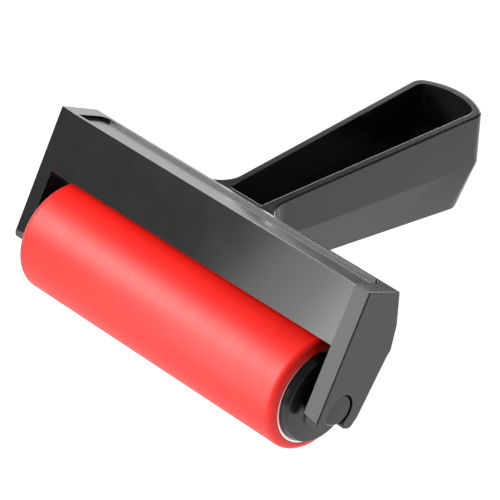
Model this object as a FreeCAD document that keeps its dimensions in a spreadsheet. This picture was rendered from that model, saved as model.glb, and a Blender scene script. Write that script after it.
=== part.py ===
import FreeCAD, Part
import math
import os
import Sketcher
from FreeCAD import Placement, Rotation, Vector

# Rubber brayer: a one-piece moulded frame (yoke, two arms and a trough handle) that carries a
# snap-in roller. The roller is a rubber sleeve on a metal core tube, closed by two end caps whose
# stub axles turn in the open slots of the arms.
#
# Every sub-part is drawn in the tool's own frame: the roller axis is X, Y runs back along the handle
# and the handle's rim is level. The placement then tips that frame until the tool rests on its roller
# and on the end of its handle, with the origin under the middle of the whole tool.

doc = FreeCAD.newDocument("brayer")

# ---------------------------------------------------------------- driving dimensions, mm and degrees
DIMENSIONS = [
    ("roller_length", 100.0),       # nominal 10 cm roller
    ("roller_radius", 16.2),
    ("roller_edge", 2.4),           # rounding of the rubber's ends
    ("rubber_wall", 2.6),
    ("tube_wall", 0.9),
    ("plug_play", 0.03),            # radial, cap plug in the tube
    ("plug_depth", 12.0),
    ("plug_wall", 1.8),
    ("flange_radius", 13.0),
    ("flange_rise", 2.2),           # how far the cap stands out of the tube
    ("flange_draft", 0.6),          # the flange closes in this much from the tube to its rim
    ("rim_chamfer", 0.35),
    ("end_wall", 3.1),              # the cap's wall between its outer face and the hollow plug
    ("hub_radius", 5.6),
    ("hub_rise", 4.0),
    ("axle_radius", 4.7),
    ("axle_chamfer", 0.6),
    ("axle_play", 0.05),            # radial, stub axle in its slot
    ("axle_recess", 0.5),           # axle end below the arm's outer face
    ("half_span", 59.4),            # yoke, outer half width at the front
    ("arm_wall", 5.0),
    ("side_taper", 3.0),            # the side faces close in towards the back
    ("arm_relief", 0.5),            # outer front edge of an arm behind the front plate
    ("lean", 27.0),                 # arms and front plate against the upright of the handle's rim
    ("plate_front", -8.3),
    ("plate_wall", 2.3),
    ("plate_low", 16.4),
    ("yoke_top", 33.6),
    ("yoke_back", 20.2),
    ("back_top", 27.9),             # top and bottom of the upright back face
    ("back_bottom", 17.5),
    ("back_low", 10.0),
    ("bend_across", 11.9),          # the arm's rear outline below it: bend, crook, heel and toe
    ("bend_up", 17.6),
    ("crook_across", 11.3),
    ("crook_up", 15.6),
    ("heel_across", 9.0),
    ("heel_up", -1.8),
    ("toe_across", 7.6),
    ("toe_up", -5.2),
    ("leg_low", -5.4),
    ("mouth_front", 4.7),
    ("mouth_back", 3.7),
    ("bend_round", 1.0),
    ("tip_rise", 2.6),              # flat that cuts the front corner of the arm's end
    ("tip_back", 1.4),
    ("front_tip_round", 1.6),
    ("back_tip_round", 1.7),
    ("recess_margin", 6.0),
    ("recess_lip", 1.2),
    ("recess_depth", 0.9),
    ("recess_corner", 3.0),
    ("rim_height", 27.7),
    ("crease_height", 18.6),        # crease and bottom planes: height at the roller axis, then slope
    ("crease_slope", 3.8),
    ("bottom_height", 6.8),
    ("bottom_slope", 6.0),
    ("root_half_width", 7.2),       # half width of the handle at the roller axis, then its flare
    ("side_flare", 3.2),
    ("handle_end", 104.2),
    ("end_radius", 20.0),
    ("end_corner", 4.0),            # plan corners of the handle's end: outside, bottom, trough, core
    ("bottom_corner", 6.0),
    ("trough_corner", 2.8),
    ("core_corner", 3.0),
    ("facet_inset", 3.7),
    ("handle_wall", 2.4),
    ("handle_start", 18.6),
    ("trough_start", 21.4),
    ("web", 2.4),
    ("root_flare", 7.0),            # length of the root webs along the handle, then along the wall
    ("root_spread", 5.0),
    ("rim_edge", 0.6),
    ("boss_radius", 5.0),
    ("boss_height", 2.6),
    ("boss_place", 93.4),
    ("hole_radius", 2.0),
    ("trough_draft", 0.4),          # the trough closes in this much from its rim to its floor
    ("rib_wall", 1.6),
    ("rib_height", 9.0),
    ("edge", 0.4),                  # small rounding of the moulded edges
]
sheet = doc.addObject("Spreadsheet::Sheet", "Sizes")
for row, (alias, number) in enumerate(DIMENSIONS, start=1):
    sheet.set(f"A{row}", alias)
    sheet.set(f"B{row}", str(number))
    sheet.setAlias(f"B{row}", alias)
doc.recompute()

X_AXIS = Vector(1, 0, 0)
Z_AXIS = Vector(0, 0, 1)
REACH = 200.0                       # longer than the whole tool, for cuts that go right through
PAST = 30.0                         # beyond the yoke to every side, for cuts open to one side
RIB_PLACES = (38.0, 57.0, 76.0)     # cross ribs under the web, along the handle


def size(name):
    """The number in the sheet's cell of that name."""
    return float(getattr(sheet, name))


# ------------------------------------------------------------------------------ drawing helpers
def new_body(label):
    body = doc.addObject("PartDesign::Body", label)
    body.Label = label
    return body


def origin_plane(body, role):
    return next(item for item in body.Origin.OriginFeatures if item.Role == role)


def new_sketch(body, name, role="XY_Plane", height=None, slope=None):
    """A sketch on an origin plane, lifted by one cell of the sheet and tipped about X by another."""
    sketch = body.newObject("Sketcher::SketchObject", name)
    sketch.AttachmentSupport = (origin_plane(body, role), [""])
    sketch.MapMode = "FlatFace"
    if height is not None or slope is not None:
        sketch.AttachmentOffset = Placement(Vector(0, 0, 0), Rotation(X_AXIS, 1))
        sketch.setExpression("AttachmentOffset.Rotation.Angle", slope or "0 deg")
        sketch.setExpression("AttachmentOffset.Base.z", height or "0")
        doc.recompute()
    return sketch


def pin_point(sketch, edge, end, x_rule, y_rule):
    """Binds one end of an edge to two expressions, measured from the sketch's origin."""
    for kind, rule in (("DistanceX", x_rule), ("DistanceY", y_rule)):
        value = float(sketch.evalExpression(rule))
        index = sketch.addConstraint(Sketcher.Constraint(kind, -1, 1, edge, end, value))
        sketch.setExpression(f"Constraints[{index}]", rule)


def draw_polygon(sketch, corners):
    """A closed polygon whose corners are pairs of expressions."""
    points = [Vector(*(float(sketch.evalExpression(rule)) for rule in corner), 0) for corner in corners]
    first = sketch.GeometryCount
    count = len(points)
    for index, point in enumerate(points):
        sketch.addGeometry(Part.LineSegment(point, points[(index + 1) % count]), False)
    for index in range(count):
        joint = Sketcher.Constraint("Coincident", first + index, 2, first + (index + 1) % count, 1)
        sketch.addConstraint(joint)
    for index, (x_rule, y_rule) in enumerate(corners):
        pin_point(sketch, first + index, 1, x_rule, y_rule)


def draw_circle(sketch, x_rule, y_rule, radius_rule):
    centre = Vector(float(sketch.evalExpression(x_rule)), float(sketch.evalExpression(y_rule)), 0)
    radius = float(sketch.evalExpression(radius_rule))
    edge = sketch.addGeometry(Part.Circle(centre, Z_AXIS, radius), False)
    index = sketch.addConstraint(Sketcher.Constraint("Radius", edge, radius))
    sketch.setExpression(f"Constraints[{index}]", radius_rule)
    pin_point(sketch, edge, 3, x_rule, y_rule)


def both_ways(feature, length_rule):
    """Makes a pad or a pocket run the same distance to both sides of its sketch."""
    feature.Midplane = True
    feature.setExpression("Length", length_rule)
    doc.recompute()
    return feature


def pad(body, sketch, length_rule):
    feature = body.newObject("PartDesign::Pad", f"{sketch.Name}_pad")
    feature.Profile = sketch
    return both_ways(feature, length_rule)


def pocket(body, sketch, length_rule):
    """A cut to both sides of its sketch, which has to take something away."""
    before = body.Shape.Volume
    feature = body.newObject("PartDesign::Pocket", f"{sketch.Name}_pocket")
    feature.Profile = sketch
    both_ways(feature, length_rule)
    if body.Shape.Volume >= before:
        raise RuntimeError(f"{feature.Name} cuts nothing")
    return feature


def one_way(body, sketch, kind, length_rule, reversed_way):
    """A pad or a pocket to one side of its sketch."""
    feature = body.newObject(f"PartDesign::{kind}", f"{sketch.Name}_{kind.lower()}")
    feature.Profile = sketch
    feature.Reversed = reversed_way
    feature.setExpression("Length", length_rule)
    before = body.Shape.Volume
    doc.recompute()
    if (body.Shape.Volume - before) * (1 if kind == "Pad" else -1) <= 0:
        raise RuntimeError(f"{feature.Name} changes nothing")
    return feature


def round_edges(body, name, radius_rule, wanted):
    """Rounds the edges of the body for which wanted(edge) is true."""
    tip = body.Tip
    names = [f"Edge{i}" for i, edge in enumerate(tip.Shape.Edges, start=1) if wanted(edge)]
    if not names:
        raise RuntimeError(f"{name} finds no edge")
    fillet = body.newObject("PartDesign::Fillet", name)
    fillet.Base = (tip, names)
    fillet.setExpression("Radius", radius_rule)
    doc.recompute()
    return fillet


# ------------------------------------------------------------------- geometry shared by sub-parts
LEAN = math.radians(size("lean"))


def leaning(u, v):
    """Y and Z of a point given across (u) and up (v) the leaning arms."""
    return u * math.cos(LEAN) + v * math.sin(LEAN), v * math.cos(LEAN) - u * math.sin(LEAN)


def runs_along_x(edge, u, v, tolerance=0.3):
    """True for an edge parallel to X through the point u, v of the arm's own plane."""
    y, z = leaning(u, v)
    ends = [vertex.Point for vertex in edge.Vertexes]
    if len(ends) != 2 or abs(ends[0].x - ends[1].x) < 1.0:
        return False
    return all(math.hypot(end.y - y, end.z - z) < tolerance for end in ends)


def draw_handle_outline(sketch, inset, start, corner_name):
    """Plan outline of the handle, set in by a distance: two flared sides and a round end."""
    flare = math.radians(size("side_flare"))
    inset_value = float(sketch.evalExpression(inset))
    start_value = size(start)
    side = size("root_half_width") - inset_value / math.cos(flare)
    end_radius = size("end_radius") - inset_value
    centre_y = size("handle_end") - size("end_radius")
    corner = size(corner_name)
    # the corner arc touches the side and the end arc, so its centre lies on both of their offsets
    slope = math.tan(flare)
    offset = side - corner / math.cos(flare)
    half_b = offset * slope - centre_y
    full_c = offset ** 2 + centre_y ** 2 - (end_radius - corner) ** 2
    corner_y = (-half_b + math.sqrt(half_b ** 2 - (1 + slope ** 2) * full_c)) / (1 + slope ** 2)
    corner_x = offset + slope * corner_y
    turn = math.atan2(corner_y - centre_y, corner_x)
    near = Vector(side + slope * start_value, start_value, 0)
    far = Vector(corner_x + corner * math.cos(flare), corner_y - corner * math.sin(flare), 0)
    near_left, far_left = Vector(-near.x, near.y, 0), Vector(-far.x, far.y, 0)
    circle = Part.Circle
    sketch.addGeometry([
        Part.LineSegment(near_left, near),
        Part.LineSegment(near, far),
        Part.ArcOfCircle(circle(Vector(corner_x, corner_y, 0), Z_AXIS, corner), -flare, turn),
        Part.ArcOfCircle(circle(Vector(0, centre_y, 0), Z_AXIS, end_radius), turn, math.pi - turn),
        Part.ArcOfCircle(circle(Vector(-corner_x, corner_y, 0), Z_AXIS, corner),
                         math.pi - turn, math.pi + flare),
        Part.LineSegment(far_left, near_left),
    ], False)
    sketch.addConstraint([
        Sketcher.Constraint("Coincident", 0, 2, 1, 1),
        Sketcher.Constraint("Tangent", 1, 2, 2, 1),
        Sketcher.Constraint("Tangent", 2, 2, 3, 1),
        Sketcher.Constraint("Tangent", 3, 2, 4, 1),
        Sketcher.Constraint("Tangent", 4, 2, 5, 1),
        Sketcher.Constraint("Coincident", 5, 2, 0, 1),
        Sketcher.Constraint("Symmetric", 0, 1, 0, 2, -2),
        Sketcher.Constraint("Symmetric", 1, 2, 5, 1, -2),
        Sketcher.Constraint("PointOnObject", 3, 3, -2),
    ])
    bound = [
        (Sketcher.Constraint("DistanceY", -1, 1, 0, 1, start_value), f"Sizes.{start}"),
        (Sketcher.Constraint("DistanceX", -1, 1, 0, 2, near.x),
         f"Sizes.root_half_width - ({inset}) / cos(Sizes.side_flare)"
         f" + Sizes.{start} * tan(Sizes.side_flare)"),
        (Sketcher.Constraint("Angle", 1, math.pi / 2 - flare), "90 deg - Sizes.side_flare * 1 deg"),
        (Sketcher.Constraint("Radius", 2, corner), f"Sizes.{corner_name}"),
        (Sketcher.Constraint("Radius", 3, end_radius), f"Sizes.end_radius - ({inset})"),
        (Sketcher.Constraint("DistanceY", -1, 1, 3, 3, centre_y), "Sizes.handle_end - Sizes.end_radius"),
    ]
    for constraint, rule in bound:
        index = sketch.addConstraint(constraint)
        sketch.setExpression(f"Constraints[{index}]", rule)


def outline_sketch(body, name, level, inset, start, corner_name="end_corner"):
    """The handle's outline at one of its levels: rim, floor, crease, underside or bottom."""
    levels = {
        "rim": ("Sizes.rim_height", "0 deg"),
        "floor": ("Sizes.crease_height + Sizes.web", "-Sizes.crease_slope * 1 deg"),
        "crease": ("Sizes.crease_height", "-Sizes.crease_slope * 1 deg"),
        "bottom": ("Sizes.bottom_height", "-Sizes.bottom_slope * 1 deg"),
    }
    height, slope = levels[level]
    sketch = new_sketch(body, name, height=height, slope=slope)
    draw_handle_outline(sketch, inset, start, corner_name)
    doc.recompute()
    return sketch


def loft(body, kind, sketches):
    """A ruled loft through outline sketches, added to or taken from the body."""
    before = body.Shape.Volume if body.Tip else 0.0
    feature = body.newObject(f"PartDesign::{kind}Loft", f"{sketches[0].Name}_loft")
    feature.Profile = sketches[0]
    feature.Sections = sketches[1:]
    feature.Ruled = True
    doc.recompute()
    change = body.Shape.Volume - before
    if change * (1 if kind == "Additive" else -1) <= 0:
        raise RuntimeError(f"{feature.Name} changes nothing")
    return feature


# ----------------------------------------------------------------------------------- handle_frame
def turn_to_arms(sketch):
    """Turns a sketch on the YZ plane so that its axes run across (u) and up (v) the arms."""
    sketch.AttachmentOffset = Placement(Vector(0, 0, 0), Rotation(Z_AXIS, -1))
    sketch.setExpression("AttachmentOffset.Rotation.Angle", "-Sizes.lean * 1 deg")
    doc.recompute()


# a point given by Y and Z in the tool's frame, as expressions in the turned sketch
def turned(y_rule, z_rule):
    u_rule = f"({y_rule}) * cos(Sizes.lean) - ({z_rule}) * sin(Sizes.lean)"
    v_rule = f"({y_rule}) * sin(Sizes.lean) + ({z_rule}) * cos(Sizes.lean)"
    return u_rule, v_rule


FRONT = "Sizes.plate_front"
ARM_FRONT = "Sizes.plate_front + Sizes.arm_relief"
BEND = ("Sizes.bend_across", "Sizes.bend_up")
CROOK = ("Sizes.crook_across", "Sizes.crook_up")
HEEL = ("Sizes.heel_across", "Sizes.heel_up")
TOE = ("Sizes.toe_across", "Sizes.toe_up")


def make_side_profile(body):
    """The yoke and its arms as one solid block with the arms' side outline."""
    sketch = new_sketch(body, "side_profile", "YZ_Plane")
    turn_to_arms(sketch)
    draw_polygon(sketch, [
        (f"{FRONT} + Sizes.tip_back", "Sizes.leg_low"),
        (FRONT, "Sizes.leg_low + Sizes.tip_rise"),
        (FRONT, "Sizes.yoke_top"),
        turned("Sizes.yoke_back", "Sizes.back_top"),
        turned("Sizes.yoke_back", "Sizes.back_bottom"),
        BEND,
        CROOK,
        HEEL,
        TOE,
        ("Sizes.mouth_back", "Sizes.toe_up"),
        ("-Sizes.mouth_front", "Sizes.leg_low"),
    ])
    pad(body, sketch, "2 * Sizes.half_span")


def trim_sides(body):
    """Tapers the two side faces towards the back and draws the fronts of the arms back outwards."""
    sketch = new_sketch(body, "side_trim", slope="-Sizes.lean * 1 deg")
    wide = "(Sizes.half_span + Sizes.arm_wall)"
    far = f"{PAST}"
    draw_in = f"({far} - ({ARM_FRONT})) * tan(Sizes.side_taper)"
    for sign in ("", "-"):
        draw_polygon(sketch, [
            (f"{sign}Sizes.half_span", ARM_FRONT),
            (f"{sign}{wide}", ARM_FRONT),
            (f"{sign}{wide}", far),
            (f"{sign}(Sizes.half_span - {draw_in})", far),
        ])
    draw_polygon(sketch, [
        ("-Sizes.half_span", f"{FRONT} - 1"),
        ("Sizes.half_span", f"{FRONT} - 1"),
        ("Sizes.half_span", ARM_FRONT),
        ("Sizes.half_span - Sizes.arm_wall", FRONT),
        ("-Sizes.half_span + Sizes.arm_wall", FRONT),
        ("-Sizes.half_span", ARM_FRONT),
    ])
    pocket(body, sketch, f"{REACH}")


def hollow_yoke(body):
    """Opens the space between the arms: behind the plate, under the top wall, ahead of the back wall."""
    sketch = new_sketch(body, "roller_bay", "YZ_Plane")
    turn_to_arms(sketch)
    behind = f"{FRONT} + Sizes.plate_wall"
    under = "Sizes.yoke_top - Sizes.plate_wall"
    draw_polygon(sketch, [
        (f"-{PAST}", f"-{PAST}"),
        (f"-{PAST}", "Sizes.plate_low"),
        (behind, "Sizes.plate_low"),
        (behind, under),
        turned("Sizes.yoke_back - Sizes.plate_wall", "Sizes.back_top - Sizes.plate_wall"),
        turned("Sizes.yoke_back - Sizes.plate_wall", "Sizes.back_low"),
        turned(f"Sizes.yoke_back + {PAST}", "Sizes.back_low"),
        (f"Sizes.yoke_back + {PAST}", f"-{PAST}"),
    ])
    pocket(body, sketch, "2 * (Sizes.half_span - Sizes.arm_wall)")


def cut_axle_slots(body):
    """Round seats for the stub axles, with a mouth through the end of each arm."""
    sketch = new_sketch(body, "axle_seat", "YZ_Plane")
    draw_circle(sketch, "0", "0", "Sizes.axle_radius + Sizes.axle_play")
    pocket(body, sketch, f"{REACH}")
    sketch = new_sketch(body, "axle_mouth", "YZ_Plane")
    turn_to_arms(sketch)
    draw_polygon(sketch, [
        ("-Sizes.mouth_front", "0"),
        ("-Sizes.mouth_front", f"-{PAST}"),
        ("Sizes.mouth_back", f"-{PAST}"),
        ("Sizes.mouth_back", "0"),
    ])
    pocket(body, sketch, f"{REACH}")


def round_back_bends(body):
    """Softens the bend low in the back wall, before anything else meets it."""
    bends = [
        (size("bend_across"), size("bend_up")),
        (size("crook_across"), size("crook_up")),
    ]
    round_edges(body, "back_bends", "Sizes.bend_round",
                lambda edge: any(runs_along_x(edge, u, v) for u, v in bends))


def round_arm_tips(body):
    """Rounds the ends of the two legs of each arm."""
    leg_back = size("mouth_back")
    round_edges(body, "front_tips", "Sizes.front_tip_round",
                lambda edge: runs_along_x(edge, -size("mouth_front"), size("leg_low")))
    back_tip = [
        (leg_back, size("toe_up")),
        (size("toe_across"), size("toe_up")),
        (size("heel_across"), size("heel_up")),
    ]
    round_edges(body, "back_tips", "Sizes.back_tip_round",
                lambda edge: any(runs_along_x(edge, u, v) for u, v in back_tip))


def cut_top_recess(body):
    """The shallow panel in the yoke's top face, with round corners at the back."""
    front_y, front_z = leaning(size("plate_front"), size("yoke_top"))
    fall, run = front_z - size("back_top"), size("yoke_back") - front_y
    sketch = body.newObject("Sketcher::SketchObject", "top_panel")
    sketch.AttachmentSupport = (origin_plane(body, "XY_Plane"), [""])
    sketch.MapMode = "FlatFace"
    drop = Rotation(X_AXIS, -math.degrees(math.atan2(fall, run)))
    sketch.AttachmentOffset = Placement(Vector(0, front_y, front_z), drop)
    half = "(Sizes.half_span - Sizes.recess_margin)"
    back = f"{math.hypot(fall, run):.3f} - Sizes.recess_lip"
    front = "Sizes.recess_lip"
    draw_polygon(sketch, [(f"-{half}", front), (half, front), (half, back), (f"-{half}", back)])
    doc.recompute()
    one_way(body, sketch, "Pocket", "Sizes.recess_depth", False)


def make_handle(body):
    """The tapering trough: upright upper facets, sloping lower facets, hollow above and below a web."""
    loft(body, "Additive", [
        outline_sketch(body, "outside_rim", "rim", "0", "handle_start"),
        outline_sketch(body, "outside_crease", "crease", "0", "handle_start"),
        outline_sketch(body, "outside_bottom", "bottom", "Sizes.facet_inset", "handle_start",
                       "bottom_corner"),
    ])


def flare_root(body):
    """Concave webs that widen the handle where it leaves the yoke's back wall."""
    sketch = new_sketch(body, "root_webs", height="Sizes.rim_height")
    back, reach, spread = size("yoke_back"), size("root_flare"), size("root_spread")
    buried = 1.0                    # how far each web runs into the wall and the handle
    side = size("root_half_width") + math.tan(math.radians(size("side_flare"))) * (back + reach)
    radius = (spread ** 2 + reach ** 2) / (2 * spread)
    half_turn = math.asin(reach / radius) / 2
    for sign in (1, -1):
        centre = Vector(sign * (side + radius), back + reach, 0)
        on_wall = Vector(sign * (side + spread), back, 0)
        on_side = Vector(sign * side, back + reach, 0)
        between = centre - Vector(sign * math.cos(half_turn), math.sin(half_turn), 0) * radius
        corners = [on_side, on_side - Vector(sign * buried, 0, 0),
                   Vector(sign * (side - reach / 2), back - buried, 0),
                   on_wall - Vector(0, buried, 0), on_wall]
        first = sketch.GeometryCount
        sketch.addGeometry(Part.Arc(on_wall, between, on_side), False)
        for start, end in zip(corners, corners[1:]):
            sketch.addGeometry(Part.LineSegment(start, end), False)
        for edge in range(first, sketch.GeometryCount):
            sketch.addConstraint(Sketcher.Constraint("Block", edge))
    doc.recompute()
    one_way(body, sketch, "Pad", "Sizes.rim_height - Sizes.back_low", True)


def hollow_handle(body):
    """The trough above the web and the open underside below it, with its cross ribs."""
    loft(body, "Subtractive", [
        outline_sketch(body, "trough_rim", "rim", "Sizes.handle_wall", "trough_start",
                       "trough_corner"),
        outline_sketch(body, "trough_floor", "floor", "Sizes.handle_wall + Sizes.trough_draft",
                       "trough_start", "trough_corner"),
    ])
    core = "Sizes.facet_inset + Sizes.handle_wall"
    loft(body, "Subtractive", [
        outline_sketch(body, "underside_mouth", "bottom", core, "trough_start", "core_corner"),
        outline_sketch(body, "underside_roof", "crease", core, "trough_start", "core_corner"),
    ])
    half_core = size("root_half_width") - size("facet_inset") - size("handle_wall")
    slope = math.tan(math.radians(size("side_flare")))
    sketch = new_sketch(body, "ribs", height="Sizes.crease_height",
                        slope="-Sizes.crease_slope * 1 deg")
    for place in RIB_PLACES:
        half = half_core + slope * place + 1.0
        draw_polygon(sketch, [
            (f"-{half:.3f}", f"{place} - Sizes.rib_wall / 2"),
            (f"{half:.3f}", f"{place} - Sizes.rib_wall / 2"),
            (f"{half:.3f}", f"{place} + Sizes.rib_wall / 2"),
            (f"-{half:.3f}", f"{place} + Sizes.rib_wall / 2"),
        ])
    doc.recompute()
    one_way(body, sketch, "Pad", "Sizes.rib_height", True)


def make_hanging_hole(body):
    """A low boss on the trough's floor with the hanging hole through it."""
    floor = {"height": "Sizes.crease_height + Sizes.web", "slope": "-Sizes.crease_slope * 1 deg"}
    sketch = new_sketch(body, "hanging_boss", **floor)
    draw_circle(sketch, "0", "Sizes.boss_place", "Sizes.boss_radius")
    doc.recompute()
    one_way(body, sketch, "Pad", "Sizes.boss_height", False)
    sketch = new_sketch(body, "hanging_hole", **floor)
    draw_circle(sketch, "0", "Sizes.boss_place", "Sizes.hole_radius")
    doc.recompute()
    pocket(body, sketch, "4 * Sizes.boss_height + 2 * Sizes.web")


def on_rim(edge):
    """The outer edge of the handle's rim, behind the root webs."""
    ends = [edge.valueAt(value) for value in edge.ParameterRange]
    limit = size("yoke_back") + size("root_flare") - 0.1
    if any(abs(point.z - size("rim_height")) > 0.01 or point.y < limit for point in ends):
        return False
    middle = edge.valueAt(sum(edge.ParameterRange) / 2)
    side = size("root_half_width") + math.tan(math.radians(size("side_flare"))) * middle.y
    return abs(middle.x) > side - 0.2 or middle.y > size("handle_end") - 1.5


def in_panel_corner(edge):
    """The two upright rear corners of the recess in the yoke's top face."""
    ends = [vertex.Point for vertex in edge.Vertexes]
    if len(ends) != 2 or abs(ends[0].x - ends[1].x) > 0.01:
        return False
    half = size("half_span") - size("recess_margin")
    short = abs(ends[0].distanceToPoint(ends[1]) - size("recess_depth")) < 0.01
    return short and abs(abs(ends[0].x) - half) < 0.01 and ends[0].y > size("yoke_back") / 2 + 4


def on_arm_side(edge):
    """The outline of the two outer side faces of the yoke, without the tips of the front legs."""
    points = [edge.valueAt(value) for value in edge.ParameterRange]
    points.append(edge.valueAt(sum(edge.ParameterRange) / 2))
    across = [point.y * math.cos(LEAN) - point.z * math.sin(LEAN) for point in points]
    taper = math.tan(math.radians(size("side_taper")))
    front = size("plate_front") + size("arm_relief")
    faces = [size("half_span") - (u - front) * taper for u in across]
    seat = size("axle_radius") + size("axle_play") + 0.5
    up = points[-1].y * math.sin(LEAN) + points[-1].z * math.cos(LEAN)
    front_tip = across[-1] < 0 and up < 0
    clear = all(math.hypot(point.y, point.z) > seat for point in points) and not front_tip
    return clear and all(abs(abs(p.x) - face) < 0.02 for p, face in zip(points, faces))


def make_frame():
    body = new_body("handle_frame")
    make_side_profile(body)
    round_back_bends(body)
    trim_sides(body)
    hollow_yoke(body)
    make_handle(body)
    flare_root(body)
    cut_axle_slots(body)
    round_arm_tips(body)
    cut_top_recess(body)
    hollow_handle(body)
    make_hanging_hole(body)
    round_edges(body, "panel_corners", "Sizes.recess_corner", in_panel_corner)
    round_edges(body, "rim_rounding", "Sizes.rim_edge", on_rim)
    round_edges(body, "side_rounding", "Sizes.edge", on_arm_side)
    return body


# ------------------------------------------------------------------------------ roller sub-parts
TUBE_OUTSIDE = "(Sizes.roller_radius - Sizes.rubber_wall)"
TUBE_INSIDE = f"({TUBE_OUTSIDE} - Sizes.tube_wall)"
HALF_ROLLER = "Sizes.roller_length / 2"


def revolve(body, name, corners):
    """Turns a closed outline, given as X and radius, about the roller's axis."""
    sketch = new_sketch(body, name, "XZ_Plane")
    draw_polygon(sketch, corners)
    doc.recompute()
    feature = body.newObject("PartDesign::Revolution", f"{name}_turned")
    feature.Profile = sketch
    feature.ReferenceAxis = (sketch, ["H_Axis"])
    feature.Angle = 360
    doc.recompute()
    return feature


def ring_edge(edge, x, radius):
    """True for a circle about the roller's axis at that place."""
    box = edge.BoundBox
    return abs(box.XMin - x) < 0.01 and abs(box.XMax - x) < 0.01 and abs(box.ZMax - radius) < 0.01


def make_sleeve():
    body = new_body("rubber_sleeve")
    revolve(body, "sleeve_outline", [
        (f"-{HALF_ROLLER}", TUBE_OUTSIDE),
        (HALF_ROLLER, TUBE_OUTSIDE),
        (HALF_ROLLER, "Sizes.roller_radius"),
        (f"-{HALF_ROLLER}", "Sizes.roller_radius"),
    ])
    half, radius = size("roller_length") / 2, size("roller_radius")
    round_edges(body, "sleeve_ends", "Sizes.roller_edge",
                lambda edge: ring_edge(edge, half, radius) or ring_edge(edge, -half, radius))
    return body


def make_tube():
    body = new_body("core_tube")
    revolve(body, "tube_outline", [
        (f"-{HALF_ROLLER}", TUBE_INSIDE),
        (HALF_ROLLER, TUBE_INSIDE),
        (HALF_ROLLER, TUBE_OUTSIDE),
        (f"-{HALF_ROLLER}", TUBE_OUTSIDE),
    ])
    return body


def make_end_cap(label, side):
    """A cap for one end: plug in the tube, tapered flange against its end, flat face, hub and stub axle."""
    body = new_body(label)

    def at(rule):
        """An X expression measured outwards from the roller's end, mirrored for the left cap."""
        return f"{side} * ({HALF_ROLLER} + ({rule}))"

    plug = f"{TUBE_INSIDE} - Sizes.plug_play"
    plug_floor = "Sizes.flange_rise - Sizes.end_wall"
    axle_face = "Sizes.half_span - Sizes.axle_recess"
    # the side face is drawn in towards the back, so the axle stops at the face's middle
    draw_in = "(-Sizes.plate_front - Sizes.arm_relief) * tan(Sizes.side_taper)"
    axle_end = f"{axle_face} - {draw_in} - {HALF_ROLLER}"
    revolve(body, f"{label}_outline", [
        (at("-Sizes.plug_depth"), plug),
        (at("0"), plug),
        (at("0"), "Sizes.flange_radius"),
        (at("Sizes.flange_rise - Sizes.rim_chamfer"), "Sizes.flange_radius - Sizes.flange_draft"),
        (at("Sizes.flange_rise"), "Sizes.flange_radius - Sizes.flange_draft - Sizes.rim_chamfer"),
        (at("Sizes.flange_rise"), "Sizes.hub_radius"),
        (at("Sizes.hub_rise"), "Sizes.hub_radius"),
        (at("Sizes.hub_rise"), "Sizes.axle_radius"),
        (at(f"{axle_end} - Sizes.axle_chamfer"), "Sizes.axle_radius"),
        (at(axle_end), "Sizes.axle_radius - Sizes.axle_chamfer"),
        (at(axle_end), "0"),
        (at(plug_floor), "0"),
        (at(plug_floor), f"{plug} - Sizes.plug_wall"),
        (at("-Sizes.plug_depth"), f"{plug} - Sizes.plug_wall"),
    ])
    return body


# ------------------------------------------------------------- resting pose, checks and export
def lowest_after_tilt(shape, tilt):
    turned_shape = shape.copy()
    turned_shape.rotate(Vector(0, 0, 0), X_AXIS, -tilt)
    return turned_shape.optimalBoundingBox(False).ZMin


def resting_tilt(frame):
    """The angle at which the handle's end comes down to the floor under the roller."""
    low, high = 0.0, 20.0
    for _ in range(40):
        middle = (low + high) / 2
        if lowest_after_tilt(frame, middle) > -size("roller_radius"):
            low = middle
        else:
            high = middle
    return (low + high) / 2


bodies = [
    make_frame(),
    make_sleeve(),
    make_tube(),
    make_end_cap("end_cap_left", -1),
    make_end_cap("end_cap_right", 1),
]
tilt = resting_tilt(bodies[0].Shape)
rest = Rotation(X_AXIS, -tilt)
for body in bodies:
    body.Placement = Placement(Vector(0, 0, 0), rest)
doc.recompute()
whole = Part.makeCompound([body.Shape for body in bodies]).optimalBoundingBox(False)
lift = Vector(0, -(whole.YMin + whole.YMax) / 2, size("roller_radius"))
for body in bodies:
    body.Placement = Placement(lift, rest)
doc.recompute()

for item in doc.Objects:
    if "Invalid" in item.State or "Error" in item.State:
        raise RuntimeError(f"{item.Name} failed: {item.State}")
os.makedirs("parts", exist_ok=True)
for body in bodies:
    if body.Shape.isNull() or not body.Shape.isValid() or len(body.Shape.Solids) != 1:
        raise RuntimeError(f"{body.Label} is not one valid solid")
    body.Shape.exportStep(f"parts/{body.Label}.step")
    box = body.Shape.optimalBoundingBox(False)
    print(f"{body.Label}: {body.Shape.Volume / 1000:.2f} cm3, X {box.XMin:.1f} to {box.XMax:.1f}, "
          f"Y {box.YMin:.1f} to {box.YMax:.1f}, Z {box.ZMin:.2f} to {box.ZMax:.1f}")
print(f"tilt {tilt:.3f} degrees, roller axis at Y {lift.y:.3f}, Z {lift.z:.3f}")
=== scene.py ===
# %% [markdown]
# # A rubber brayer, piece by piece
#
# A brayer is a hand roller. Printmakers ink blocks with it and bookbinders press paper with it. Ours has a
# red rubber roller on a metal tube, a cap with a stub axle in each end of the tube, and one black plastic
# moulding that is yoke, arms and handle at once. The engineering model fixes every size and the one
# motion, the roller's spin. This file gives each piece its finish, and rebuilds the turned pieces with the
# soft edges that real ones have.

# %% Load the engineering model
import math

import bmesh
import bpy
from mathutils import Matrix, Quaternion, Vector


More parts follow.
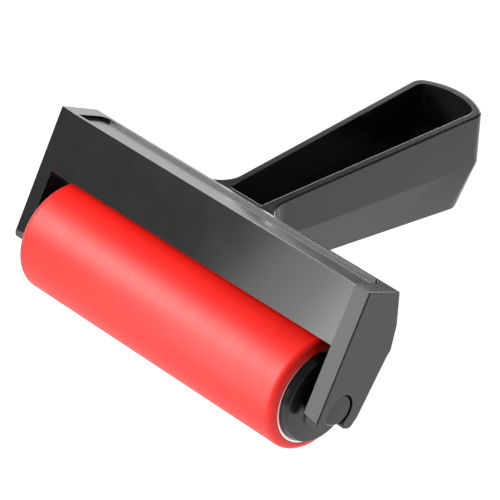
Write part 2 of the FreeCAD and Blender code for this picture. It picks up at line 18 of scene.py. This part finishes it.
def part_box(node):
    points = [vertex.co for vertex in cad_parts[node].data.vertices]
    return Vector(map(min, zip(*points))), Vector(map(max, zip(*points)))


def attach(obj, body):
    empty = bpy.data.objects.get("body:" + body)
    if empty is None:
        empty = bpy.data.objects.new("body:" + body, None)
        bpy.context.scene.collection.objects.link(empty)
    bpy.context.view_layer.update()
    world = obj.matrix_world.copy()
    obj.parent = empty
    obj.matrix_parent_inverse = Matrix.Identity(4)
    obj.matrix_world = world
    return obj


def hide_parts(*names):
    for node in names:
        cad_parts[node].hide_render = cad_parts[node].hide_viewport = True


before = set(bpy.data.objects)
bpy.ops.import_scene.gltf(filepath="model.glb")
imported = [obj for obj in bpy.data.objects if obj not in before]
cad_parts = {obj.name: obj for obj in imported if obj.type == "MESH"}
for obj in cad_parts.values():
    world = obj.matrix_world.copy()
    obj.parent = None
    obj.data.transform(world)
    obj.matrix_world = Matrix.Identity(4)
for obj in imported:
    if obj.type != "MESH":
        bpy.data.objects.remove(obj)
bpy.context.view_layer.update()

MM = 0.001
print("nodes:", sorted(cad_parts))

# %% [markdown]
# ## Where things are
#
# The model is in metres. The roller's axis is along X, so the middle of the rubber sleeve's box gives the
# axis, and half of the box's height gives the roller's radius. Reading these from the model keeps every
# new piece in its place, even if the engineering changes.

# %% Measure the roller
sleeve_low, sleeve_high = (Vector(corner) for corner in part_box("rubber_sleeve"))
tube_low, tube_high = (Vector(corner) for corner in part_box("core_tube"))
axle_high = Vector(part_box("end_cap_right")[1])
AXIS = (sleeve_low + sleeve_high) / 2
ROLLER_RADIUS = (sleeve_high.z - sleeve_low.z) / 2
HALF_ROLLER = (sleeve_high.x - sleeve_low.x) / 2
TUBE_RADIUS = (tube_high.z - tube_low.z) / 2
AXLE_END = axle_high.x
print(f"roller radius {ROLLER_RADIUS / MM:.1f} mm, half length {HALF_ROLLER / MM:.1f} mm")
print(f"tube radius {TUBE_RADIUS / MM:.1f} mm, axle end at {AXLE_END / MM:.2f} mm")

# %% [markdown]
# ## Helpers for materials
#
# Colours are easiest to pick as sRGB hex values, the way a paint chart or a web page gives them, but the
# renderer works in linear light. One function turns the one into the other. A second one adds a node,
# fills in its settings and joins its inputs, so that each material below reads as a short recipe.

# %% Colour and node helpers
def linear(hex_colour):
    """An sRGB hex colour as linear red, green, blue and alpha."""
    values = [int(hex_colour[i:i + 2], 16) / 255 for i in (1, 3, 5)]
    return tuple(v / 12.92 if v <= 0.04045 else ((v + 0.055) / 1.055) ** 2.4 for v in values) + (1.0,)


def add(tree, kind, inputs=None, **settings):
    """Adds a node. An input is a plain value, or another node's output to join to it."""
    node = tree.nodes.new(kind)
    for name, value in settings.items():
        setattr(node, name, value)
    for key, value in (inputs or {}).items():
        if isinstance(value, bpy.types.NodeSocket):
            tree.links.new(value, node.inputs[key])
        else:
            node.inputs[key].default_value = value
    return node


def new_material(name):
    """An empty material with its shader and output: returns material, tree and shader."""
    material = bpy.data.materials.new(name)
    material.use_nodes = True
    tree = material.node_tree
    tree.nodes.clear()
    shader = add(tree, "ShaderNodeBsdfPrincipled")
    add(tree, "ShaderNodeOutputMaterial", {"Surface": shader.outputs["BSDF"]})
    return material, tree, shader


def ramp(tree, factor, low, high, start=0.0, end=1.0):
    """Blends two values or colours as the factor goes from start to end."""
    node = add(tree, "ShaderNodeValToRGB", {"Fac": factor})
    for element, place, colour in zip(node.color_ramp.elements, (start, end), (low, high)):
        element.position = place
        element.color = colour if isinstance(colour, tuple) else (colour, colour, colour, 1.0)
    return node.outputs["Color"]


def per_mm(size_mm):
    """The scale of a pattern in metres whose features are this many millimetres across."""
    return 1 / (size_mm * MM)


# %% [markdown]
# ## Black ABS, injection moulded
#
# The frame is ABS, a tough glossy plastic. It is pressed molten into a polished steel mould, so its skin
# copies the mould: nearly smooth, with a very fine grain. Black ABS is nearly colourless, and what the eye
# sees is the room mirrored softly in it. Slight sinking over thick places bends that mirror image a little.
# So the recipe is a dark base, the IOR of ABS (1.54), a roughness near 0.2 that hardly wanders, and two
# bumps: slow waves for sinking and a faint grain for the skin. The real grain is about 0.05 mm, too fine to
# show here, so it is drawn as coarse as 0.35 mm. A bevel node rounds the shading of every edge by 0.2 mm,
# because no moulded edge is sharp. The caps are nylon, which comes out of the mould a little duller.

# %% Black ABS material
SINK_MM = 26                        # width of the slow waves over thick places
HANDLED_MM = 9                      # width of the patches that hands have polished
EDGE_ROUND = 0.2 * MM


def moulded_abs(name, base, worn, roughness, grain_mm=0.35):
    """Black moulded plastic: base and worn colours in sRGB hex, roughness in the middle of its range."""
    material, tree, shader = new_material(name)
    place = add(tree, "ShaderNodeTexCoord").outputs["Object"]
    sinking = add(tree, "ShaderNodeTexNoise",
                  {"Vector": place, "Scale": per_mm(SINK_MM), "Detail": 1.0, "Roughness": 0.4})
    grain = add(tree, "ShaderNodeTexNoise",
                {"Vector": place, "Scale": per_mm(grain_mm), "Detail": 2.0, "Roughness": 0.55})
    handling = add(tree, "ShaderNodeTexNoise",
                   {"Vector": place, "Scale": per_mm(HANDLED_MM), "Detail": 4.0, "Roughness": 0.6})
    colour = ramp(tree, handling.outputs["Fac"], linear(base), linear(worn), 0.42, 0.75)
    tree.links.new(colour, shader.inputs["Base Color"])
    sheen = ramp(tree, handling.outputs["Fac"], roughness - 0.01, roughness + 0.015, 0.3, 0.7)
    tree.links.new(sheen, shader.inputs["Roughness"])
    shader.inputs["IOR"].default_value = 1.54
    soft_edge = add(tree, "ShaderNodeBevel", {"Radius": EDGE_ROUND}, samples=16)
    waves = add(tree, "ShaderNodeBump",
                {"Strength": 0.35, "Distance": 0.05 * MM, "Height": sinking.outputs["Fac"],
                 "Normal": soft_edge.outputs["Normal"]})
    skin = add(tree, "ShaderNodeBump",
               {"Strength": 0.02, "Distance": 0.012 * MM, "Height": grain.outputs["Fac"],
                "Normal": waves.outputs["Normal"]})
    tree.links.new(skin.outputs["Normal"], shader.inputs["Normal"])
    print(f"material {name}: grain {grain_mm} mm, roughness about {roughness}")
    return material


BLACK_ABS = moulded_abs("black_abs_injection_moulded", "#1a1a1b", "#1d1d1e", 0.18)
BLACK_NYLON = moulded_abs("black_nylon_cap_moulded", "#141415", "#18181a", 0.24, grain_mm=0.3)

# %% [markdown]
# ## Red rubber, cast and ground
#
# The sleeve is cast on its tube and then ground true on a lathe, which leaves fine rings around the roller
# and a soft satin. Rubber is a strong, even colour, slightly cloudy from the pigment, and its highlight is
# broad because the ground skin scatters it: a roughness near 0.5. The rings are drawn with a noise that is
# stretched around the roller: it is squeezed along X to 0.3 mm and left long the other ways. Real grinding
# marks are nearer to 0.05 mm, and are drawn coarser so that they show at all. The IOR of rubber is 1.52.

# %% Red rubber material
RING_MM = 0.3                       # spacing of the grinding marks along the roller
CLOUD_MM = 14                       # width of the pigment's clouds
BLOOM_MM = 0.8                      # width of the dusty specks on the skin


def ground_rubber(name):
    """Red rubber with fine rings around X."""
    material, tree, shader = new_material(name)
    place = add(tree, "ShaderNodeTexCoord").outputs["Object"]
    around = add(tree, "ShaderNodeMapping", {"Vector": place, "Scale": (1.0, 0.02, 0.02)})
    rings = add(tree, "ShaderNodeTexNoise",
                {"Vector": around.outputs["Vector"], "Scale": per_mm(RING_MM), "Detail": 2.0})
    cloud = add(tree, "ShaderNodeTexNoise",
                {"Vector": place, "Scale": per_mm(CLOUD_MM), "Detail": 3.0, "Roughness": 0.5})
    bloom = add(tree, "ShaderNodeTexNoise",
                {"Vector": place, "Scale": per_mm(BLOOM_MM), "Detail": 2.0, "Roughness": 0.6})
    colour = ramp(tree, cloud.outputs["Fac"], linear("#f5140a"), linear("#fb1a0c"), 0.35, 0.7)
    tree.links.new(colour, shader.inputs["Base Color"])
    sheen = ramp(tree, rings.outputs["Fac"], 0.46, 0.54, 0.3, 0.7)
    tree.links.new(sheen, shader.inputs["Roughness"])
    shader.inputs["IOR"].default_value = 1.52
    ground = add(tree, "ShaderNodeBump",
                 {"Strength": 0.2, "Distance": 0.01 * MM, "Height": rings.outputs["Fac"]})
    skin = add(tree, "ShaderNodeBump",
               {"Strength": 0.12, "Distance": 0.02 * MM, "Height": bloom.outputs["Fac"],
                "Normal": ground.outputs["Normal"]})
    tree.links.new(skin.outputs["Normal"], shader.inputs["Normal"])
    print(f"material {name}: rings {RING_MM} mm apart along X")
    return material


RED_RUBBER = ground_rubber("red_rubber_cast_and_ground")

# %% [markdown]
# ## Aluminium tube, drawn and faced
#
# The tube is drawn aluminium, sawn and then faced on a lathe. Only its end ring can be seen, as a bright
# line between rubber and cap, but a reader who takes the model apart finds the drawn skin: streaks along
# the length. Streaks along X are a noise that is long in X and 0.25 mm wide across.

# %% Aluminium material
STREAK_MM = 0.25


def drawn_aluminium(name):
    """Bare aluminium with drawing streaks along X."""
    material, tree, shader = new_material(name)
    place = add(tree, "ShaderNodeTexCoord").outputs["Object"]
    along = add(tree, "ShaderNodeMapping", {"Vector": place, "Scale": (0.03, 1.0, 1.0)})
    streaks = add(tree, "ShaderNodeTexNoise",
                  {"Vector": along.outputs["Vector"], "Scale": per_mm(STREAK_MM), "Detail": 3.0})
    colour = ramp(tree, streaks.outputs["Fac"], linear("#d9dadc"), linear("#eeeff0"), 0.3, 0.7)
    tree.links.new(colour, shader.inputs["Base Color"])
    sheen = ramp(tree, streaks.outputs["Fac"], 0.22, 0.34, 0.3, 0.7)
    tree.links.new(sheen, shader.inputs["Roughness"])
    shader.inputs["Metallic"].default_value = 1.0
    drawn = add(tree, "ShaderNodeBump",
                {"Strength": 0.25, "Distance": 0.01 * MM, "Height": streaks.outputs["Fac"]})
    tree.links.new(drawn.outputs["Normal"], shader.inputs["Normal"])
    print(f"material {name}: streaks {STREAK_MM} mm wide")
    return material


ALUMINIUM = drawn_aluminium("aluminium_drawn_and_faced")

# %% [markdown]
# ## Outlines with soft corners
#
# Nothing that comes off a lathe or out of a mould has a perfectly sharp corner, and the small round that
# is left is what catches the light. A turned piece is described here by its half section: corners given
# as (place along X, radius) in millimetres, each with its own small rounding. This function swaps a corner
# for a short arc that touches both of its sides.

# %% Rounding helper
STEPS_PER_MM = 4                    # arc pieces for each millimetre of rounding, on top of three


def soft_outline(corners):
    """Closed outline in the (x, radius) plane; corners are (x, radius, rounding), all in mm."""
    points = []
    for index, (x, r, rounding) in enumerate(corners):
        here = Vector((x, r))
        if rounding <= 0:
            points.append(here)
            continue
        to_last = (Vector(corners[index - 1][:2]) - here).normalized()
        to_next = (Vector(corners[(index + 1) % len(corners)][:2]) - here).normalized()
        half = to_last.angle(to_next) / 2
        reach = rounding / math.tan(half)
        centre = here + (to_last + to_next).normalized() * (rounding / math.sin(half))
        first = here + to_last * reach - centre
        last = here + to_next * reach - centre
        turn = first.angle_signed(last)
        steps = 3 + int(rounding * STEPS_PER_MM)
        for step in range(steps + 1):
            arm = first.copy()
            arm.rotate(Matrix.Rotation(-turn * step / steps, 2))
            points.append(centre + arm)
    return points


# %% [markdown]
# ## A lathe made of geometry nodes
#
# Every piece of the roller follows one rule: a half section turned about the axis. It could be made with a
# screw or spin tool, or by placing hundreds of points. A small node tree does it once for all four pieces:
# it takes the outline as a closed wire, sweeps it round a circle with Curve to Mesh, melts points that fall
# together (at the middle of an axle's end, for example) and gives the result its material. Its inputs are
# the number of sides and the material.

# %% Build the lathe
LATHE_CIRCLE = 1.0 * MM             # the sweep's own radius, taken off the outline's radius again
MELT = 0.002 * MM                   # points closer than this are one point


def build_lathe():
    tree = bpy.data.node_groups.new("lathe", "GeometryNodeTree")
    face = tree.interface
    face.new_socket("Outline", in_out="INPUT", socket_type="NodeSocketGeometry")
    sides = face.new_socket("Sides", in_out="INPUT", socket_type="NodeSocketInt")
    sides.default_value = 96
    finish = face.new_socket("Finish", in_out="INPUT", socket_type="NodeSocketMaterial")
    face.new_socket("Turned piece", in_out="OUTPUT", socket_type="NodeSocketGeometry")
    given = add(tree, "NodeGroupInput")
    wire = add(tree, "GeometryNodeMeshToCurve", {"Mesh": given.outputs["Outline"]})
    circle = add(tree, "GeometryNodeCurvePrimitiveCircle",
                 {"Resolution": given.outputs["Sides"], "Radius": LATHE_CIRCLE})
    swept = add(tree, "GeometryNodeCurveToMesh",
                {"Curve": circle.outputs["Curve"], "Profile Curve": wire.outputs["Curve"]})
    melted = add(tree, "GeometryNodeMergeByDistance",
                 {"Geometry": swept.outputs["Mesh"], "Distance": MELT})
    real = add(tree, "GeometryNodeRealizeInstances", {"Geometry": melted.outputs["Geometry"]})
    finished = add(tree, "GeometryNodeSetMaterial",
                   {"Geometry": real.outputs["Geometry"], "Material": given.outputs["Finish"]})
    add(tree, "NodeGroupOutput", {"Turned piece": finished.outputs["Geometry"]})
    print("lathe tree:", len(tree.nodes), "nodes")
    return tree, sides.identifier, finish.identifier


LATHE, SIDES_INPUT, FINISH_INPUT = build_lathe()

# %% [markdown]
# ## Turning a piece
#
# The outline becomes a wire mesh, the tree turns it, and the result is kept as a plain mesh. The sweep
# leaves the piece round the Z axis, so it is laid along X and moved onto the roller's axis in its points,
# not by its object, which stays at the origin. Last, the faces are made to point outwards.

# %% Turning helper
TURNED_SHARP = math.radians(34)     # edges that turn by more than this stay crisp


def turned(name, corners, material, sides=128):
    """A piece turned about the roller's axis from an outline given in mm."""
    outline = soft_outline(corners)
    wire = bpy.data.meshes.new(f"{name}_outline")
    points = [(r * MM - LATHE_CIRCLE, x * MM, 0.0) for x, r in outline]
    wire.from_pydata(points, [(i, (i + 1) % len(points)) for i in range(len(points))], [])
    holder = bpy.data.objects.new(f"{name}_wire", wire)
    bpy.context.collection.objects.link(holder)
    modifier = holder.modifiers.new("lathe", "NODES")
    modifier.node_group = LATHE
    modifier[SIDES_INPUT] = sides
    modifier[FINISH_INPUT] = material
    bpy.context.view_layer.update()
    ready = holder.evaluated_get(bpy.context.evaluated_depsgraph_get())
    mesh = bpy.data.meshes.new_from_object(ready)
    bpy.data.objects.remove(holder)
    return finish_mesh(name, mesh, material)


def finish_mesh(name, mesh, material):
    """Lays a turned mesh along X on the roller's axis, points its faces outwards and shades it."""
    shape = bmesh.new()
    shape.from_mesh(mesh)
    lay_down = Matrix(((0, 0, 1), (0, 1, 0), (-1, 0, 0))).to_4x4()
    bmesh.ops.transform(shape, matrix=Matrix.Translation((0, AXIS.y, AXIS.z)) @ lay_down,
                        verts=shape.verts)
    bmesh.ops.remove_doubles(shape, verts=shape.verts, dist=MELT)
    bmesh.ops.recalc_face_normals(shape, faces=shape.faces)
    clean = bpy.data.meshes.new(name)
    shape.to_mesh(clean)
    shape.free()
    clean.materials.append(material)
    clean.shade_smooth()
    clean.set_sharp_from_angle(angle=TURNED_SHARP)
    piece = bpy.data.objects.new(name, clean)
    bpy.context.collection.objects.link(piece)
    low = [min(v.co[i] for v in clean.vertices) / MM for i in range(3)]
    high = [max(v.co[i] for v in clean.vertices) / MM for i in range(3)]
    print(f"{name}: {len(clean.polygons)} faces, box {[round(v, 2) for v in low + high]} mm")
    return piece


# %% [markdown]
# ## The rubber sleeve
#
# A plain tube of rubber, but its outer ends are rounded off by the grinder so that the roller leaves no
# hard line in the ink. The rounding is 2.4 mm, nearly the whole thickness of the rubber, so the roller's
# end reads as a soft red rim with no flat in it.
# A ring of rubber this thick is best turned, like the real one.

# %% Turn the sleeve
half_mm = HALF_ROLLER / MM
radius_mm = ROLLER_RADIUS / MM
bore_mm = TUBE_RADIUS / MM
SLEEVE_EDGE = 2.4
BROKEN_EDGE = 0.15
sleeve = turned("rubber_sleeve_turned", [
    (-half_mm, bore_mm, BROKEN_EDGE),
    (-half_mm, radius_mm, SLEEVE_EDGE),
    (half_mm, radius_mm, SLEEVE_EDGE),
    (half_mm, bore_mm, BROKEN_EDGE),
], RED_RUBBER, sides=192)

# %% [markdown]
# ## The core tube
#
# The metal tube shows only as a bright hairline ring between the rubber and the cap. Its end corners are
# broken by a rounding of 0.15 mm, as a lathe hand does with a file, and that is what glints.

# %% Turn the tube
TUBE_WALL = 0.9
tube = turned("core_tube_turned", [
    (-half_mm, bore_mm - TUBE_WALL, BROKEN_EDGE),
    (-half_mm, bore_mm, BROKEN_EDGE),
    (half_mm, bore_mm, BROKEN_EDGE),
    (half_mm, bore_mm - TUBE_WALL, BROKEN_EDGE),
], ALUMINIUM, sides=160)

# %% [markdown]
# ## The end caps
#
# Each cap is one moulding: a plug in the tube, a tapered flange on its end with a flat face, a hub that
# keeps the roller away from the arm, and the stub axle. The flange's rim draws a thin line round a face
# that mirrors the dark arm above and the white table below. The left cap is the right one with its
# outline mirrored, so one function gives both.

# %% Turn the caps
FLANGE_RADIUS = 13.0
FLANGE_RISE = 2.2
FLANGE_DRAFT = 0.8
RIM_ROUND = 0.35
PLUG_DEPTH = 12.0
PLUG_FLOOR = -0.9
PLUG_WALL = 1.8
HUB_FACE = 4.0
HUB_RADIUS = 5.6
AXLE_RADIUS = 4.7
AXLE_CHAMFER = 0.6
plug_mm = bore_mm - TUBE_WALL - 0.03


def cap_outline(side):
    axle_mm = AXLE_END / MM - half_mm
    section = [
        (-PLUG_DEPTH, plug_mm, 0.3),
        (0.0, plug_mm, 0.0),
        (0.0, FLANGE_RADIUS, 0.1),
        (FLANGE_RISE, FLANGE_RADIUS - FLANGE_DRAFT, RIM_ROUND),
        (FLANGE_RISE, HUB_RADIUS, 0.4),
        (HUB_FACE, HUB_RADIUS, 0.3),
        (HUB_FACE, AXLE_RADIUS, 0.1),
        (axle_mm - AXLE_CHAMFER, AXLE_RADIUS, 0.25),
        (axle_mm, AXLE_RADIUS - AXLE_CHAMFER, 0.25),
        (axle_mm, 0.0, 0.0),
        (PLUG_FLOOR, 0.0, 0.0),
        (PLUG_FLOOR, plug_mm - PLUG_WALL, 0.5),
        (-PLUG_DEPTH, plug_mm - PLUG_WALL, 0.3),
    ]
    return [(side * (half_mm + x), r, rounding) for x, r, rounding in section]


cap_right = turned("end_cap_right_turned", cap_outline(1), BLACK_NYLON)
cap_left = turned("end_cap_left_turned", cap_outline(-1), BLACK_NYLON)

# %% [markdown]
# ## The moulded frame
#
# Yoke, arms and handle are one moulding, and its shape is already right in the engineering model: flat
# panels, drafted sides, a trough. Building it again by hand would only risk changing its size. But the
# model's faces come as thin triangles, which shade in streaks. So they are merged back into whole panels,
# edges that turn by more than 16 degrees are kept crisp, and weighted normals let the big panels stay flat
# while the small roundings between them carry the whole turn. The fronts of the arms meet the front plate
# at only a few degrees, so creases between two large panels are kept crisp as well.

# %% Soften the moulding
SHARP_ANGLE = math.radians(16)
PANEL_AREA = 60 * MM * MM           # faces larger than this are flat panels
PANEL_CREASE = math.radians(3)
SAME_PLANE = math.radians(0.6)


def softened_copy(node, name, material):
    """A copy of one node of the model, with whole panels that shade flat."""
    shape = bmesh.new()
    shape.from_mesh(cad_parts[node].data)
    bmesh.ops.remove_doubles(shape, verts=shape.verts, dist=MELT)
    bmesh.ops.dissolve_limit(shape, angle_limit=SAME_PLANE, use_dissolve_boundaries=False,
                             verts=shape.verts, edges=shape.edges, delimit=set())
    shape.edges.index_update()
    creases = [edge.index for edge in shape.edges
               if len(edge.link_faces) == 2
               and edge.calc_face_angle(0.0) > PANEL_CREASE
               and min(face.calc_area() for face in edge.link_faces) > PANEL_AREA]
    mesh = bpy.data.meshes.new(name)
    shape.to_mesh(mesh)
    shape.free()
    mesh.materials.append(material)
    mesh.shade_smooth()
    piece = bpy.data.objects.new(name, mesh)
    bpy.context.collection.objects.link(piece)
    mesh.set_sharp_from_angle(angle=SHARP_ANGLE)
    for index in creases:
        mesh.edges[index].use_edge_sharp = True
    weighted = piece.modifiers.new("flat_panels", "WEIGHTED_NORMAL")
    weighted.mode = "FACE_AREA"
    weighted.weight = 100
    weighted.keep_sharp = True
    bpy.context.view_layer.update()
    ready = piece.evaluated_get(bpy.context.evaluated_depsgraph_get())
    final = bpy.data.meshes.new_from_object(ready)
    piece.modifiers.clear()
    piece.data = final
    print(f"{name}: {len(final.polygons)} faces, {len(creases)} creases between panels")
    return piece


shell = softened_copy("handle_frame", "handle_frame_moulding", BLACK_ABS)

# %% [markdown]
# ## Join the pieces to the model
#
# Each new piece stands for one node of the engineering model, which is hidden, and rides on its body: the
# frame stays put and the four turned pieces spin together.

# %% Ride and replace
PIECES = [
    (shell, "handle_frame", "frame", "frame_plastic"),
    (sleeve, "rubber_sleeve", "roller", "roller_rubber"),
    (tube, "core_tube", "roller", "tube_aluminium"),
    (cap_left, "end_cap_left", "roller", "cap_plastic"),
    (cap_right, "end_cap_right", "roller", "cap_plastic"),
]
for piece, node, body, slot_name in PIECES:
    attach(piece, body)
    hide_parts(node)
print("pieces:", [piece.name for piece, *_ in PIECES])

# %% [markdown]
# ## A plain white table
#
# The brayer lies on a sheet of matt white paper. It is a stage, not part of the object. Paper is slightly
# uneven, which a faint noise in its colour gives. In a studio such a sheet is lit from below until it is
# pure white and shadows vanish, so most of its light here is its own.

# %% Floor
def paper(name):
    """White paper, lit from below."""
    material, tree, shader = new_material(name)
    place = add(tree, "ShaderNodeTexCoord").outputs["Object"]
    fibre = add(tree, "ShaderNodeTexNoise", {"Vector": place, "Scale": per_mm(3), "Detail": 3.0})
    colour = ramp(tree, fibre.outputs["Fac"], linear("#5c5c5c"), linear("#606060"), 0.3, 0.7)
    tree.links.new(colour, shader.inputs["Base Color"])
    shader.inputs["Roughness"].default_value = 0.9
    shader.inputs["Emission Color"].default_value = (1.0, 1.0, 1.0, 1.0)
    shader.inputs["Emission Strength"].default_value = 1.05
    return material


def flat_sheet(name, half_width, material):
    """A square sheet on the floor; half its width in metres."""
    shape = bmesh.new()
    bmesh.ops.create_grid(shape, x_segments=1, y_segments=1, size=half_width)
    mesh = bpy.data.meshes.new(name)
    shape.to_mesh(mesh)
    shape.free()
    mesh.materials.append(material)
    sheet = bpy.data.objects.new(name, mesh)
    bpy.context.collection.objects.link(sheet)
    return sheet


floor = flat_sheet("table_paper", 3.0, paper("white_paper_matt"))

# %% [markdown]
# ## Soft studio light
#
# Black plastic shows its shape only through what it mirrors, so each light is placed where one face will
# mirror it, and the room around them is dim. A large soft box high at the front left lays the broad
# highlight along the roller. Two small ones stand close in front: the front plate mirrors the first more
# and more towards its right end, and the right arm mirrors the brighter second. A long one low behind on
# the left shows in the yoke's top face. The lamps themselves are hidden from the camera.

# %% Lights
def room_light(strength):
    """An even white room of a given brightness."""
    world = bpy.data.worlds.new("white_room")
    world.use_nodes = True
    background = world.node_tree.nodes["Background"]
    background.inputs["Color"].default_value = (1.0, 1.0, 1.0, 1.0)
    background.inputs["Strength"].default_value = strength
    bpy.context.scene.world = world


def soft_box(name, place, target, width, height, radiance):
    """A rectangular soft box of a given brightness; place and target in mm."""
    lamp = bpy.data.lights.new(name, "AREA")
    lamp.shape = "RECTANGLE"
    lamp.size = width * MM
    lamp.size_y = height * MM
    lamp.energy = math.pi * radiance * lamp.size * lamp.size_y
    holder = bpy.data.objects.new(name, lamp)
    holder.location = Vector(place) * MM
    holder.rotation_mode = "QUATERNION"
    holder.rotation_quaternion = (Vector(target) - Vector(place)).to_track_quat("-Z", "Y")
    holder.visible_camera = False
    bpy.context.collection.objects.link(holder)


room_light(0.17)
soft_box("roller_box", (-265, -280, 320), (0, -50, 25), 320, 190, 15.0)
soft_box("plate_box", (-66, -195, 60), (50, -45, 30), 50, 110, 2.9)
soft_box("arm_box", (-10, -175, 55), (57, -52, 20), 62, 110, 4.1)
soft_box("back_box", (-255, 385, 105), (0, -28, 44), 430, 180, 6.6)

# %% [markdown]
# ## The camera
#
# A long lens far away flattens the perspective, as in a catalogue picture. The camera looks down at about
# 39 degrees over the right end of the roller, and is rolled by a few degrees.

# %% Camera
def long_lens(place, target, roll, focal):
    """A camera at a place in metres, aimed at a target, with its roll in radians and lens in mm."""
    camera = bpy.data.cameras.new("long_lens")
    camera.lens = focal
    camera.sensor_width = 36.0
    camera.clip_start = 0.01
    camera.clip_end = 20.0
    holder = bpy.data.objects.new("camera", camera)
    holder.location = place
    aim = (Vector(target) - Vector(place)).to_track_quat("-Z", "Y")
    holder.rotation_mode = "QUATERNION"
    holder.rotation_quaternion = aim @ Quaternion((0, 0, 1), roll)
    bpy.context.collection.objects.link(holder)
    bpy.context.scene.camera = holder


long_lens((0.5528, -0.4979, 0.6105), (-0.0191, -0.0041, 0.0023), math.radians(-4.40), 250.8)
bpy.context.scene.view_settings.view_transform = "Standard"
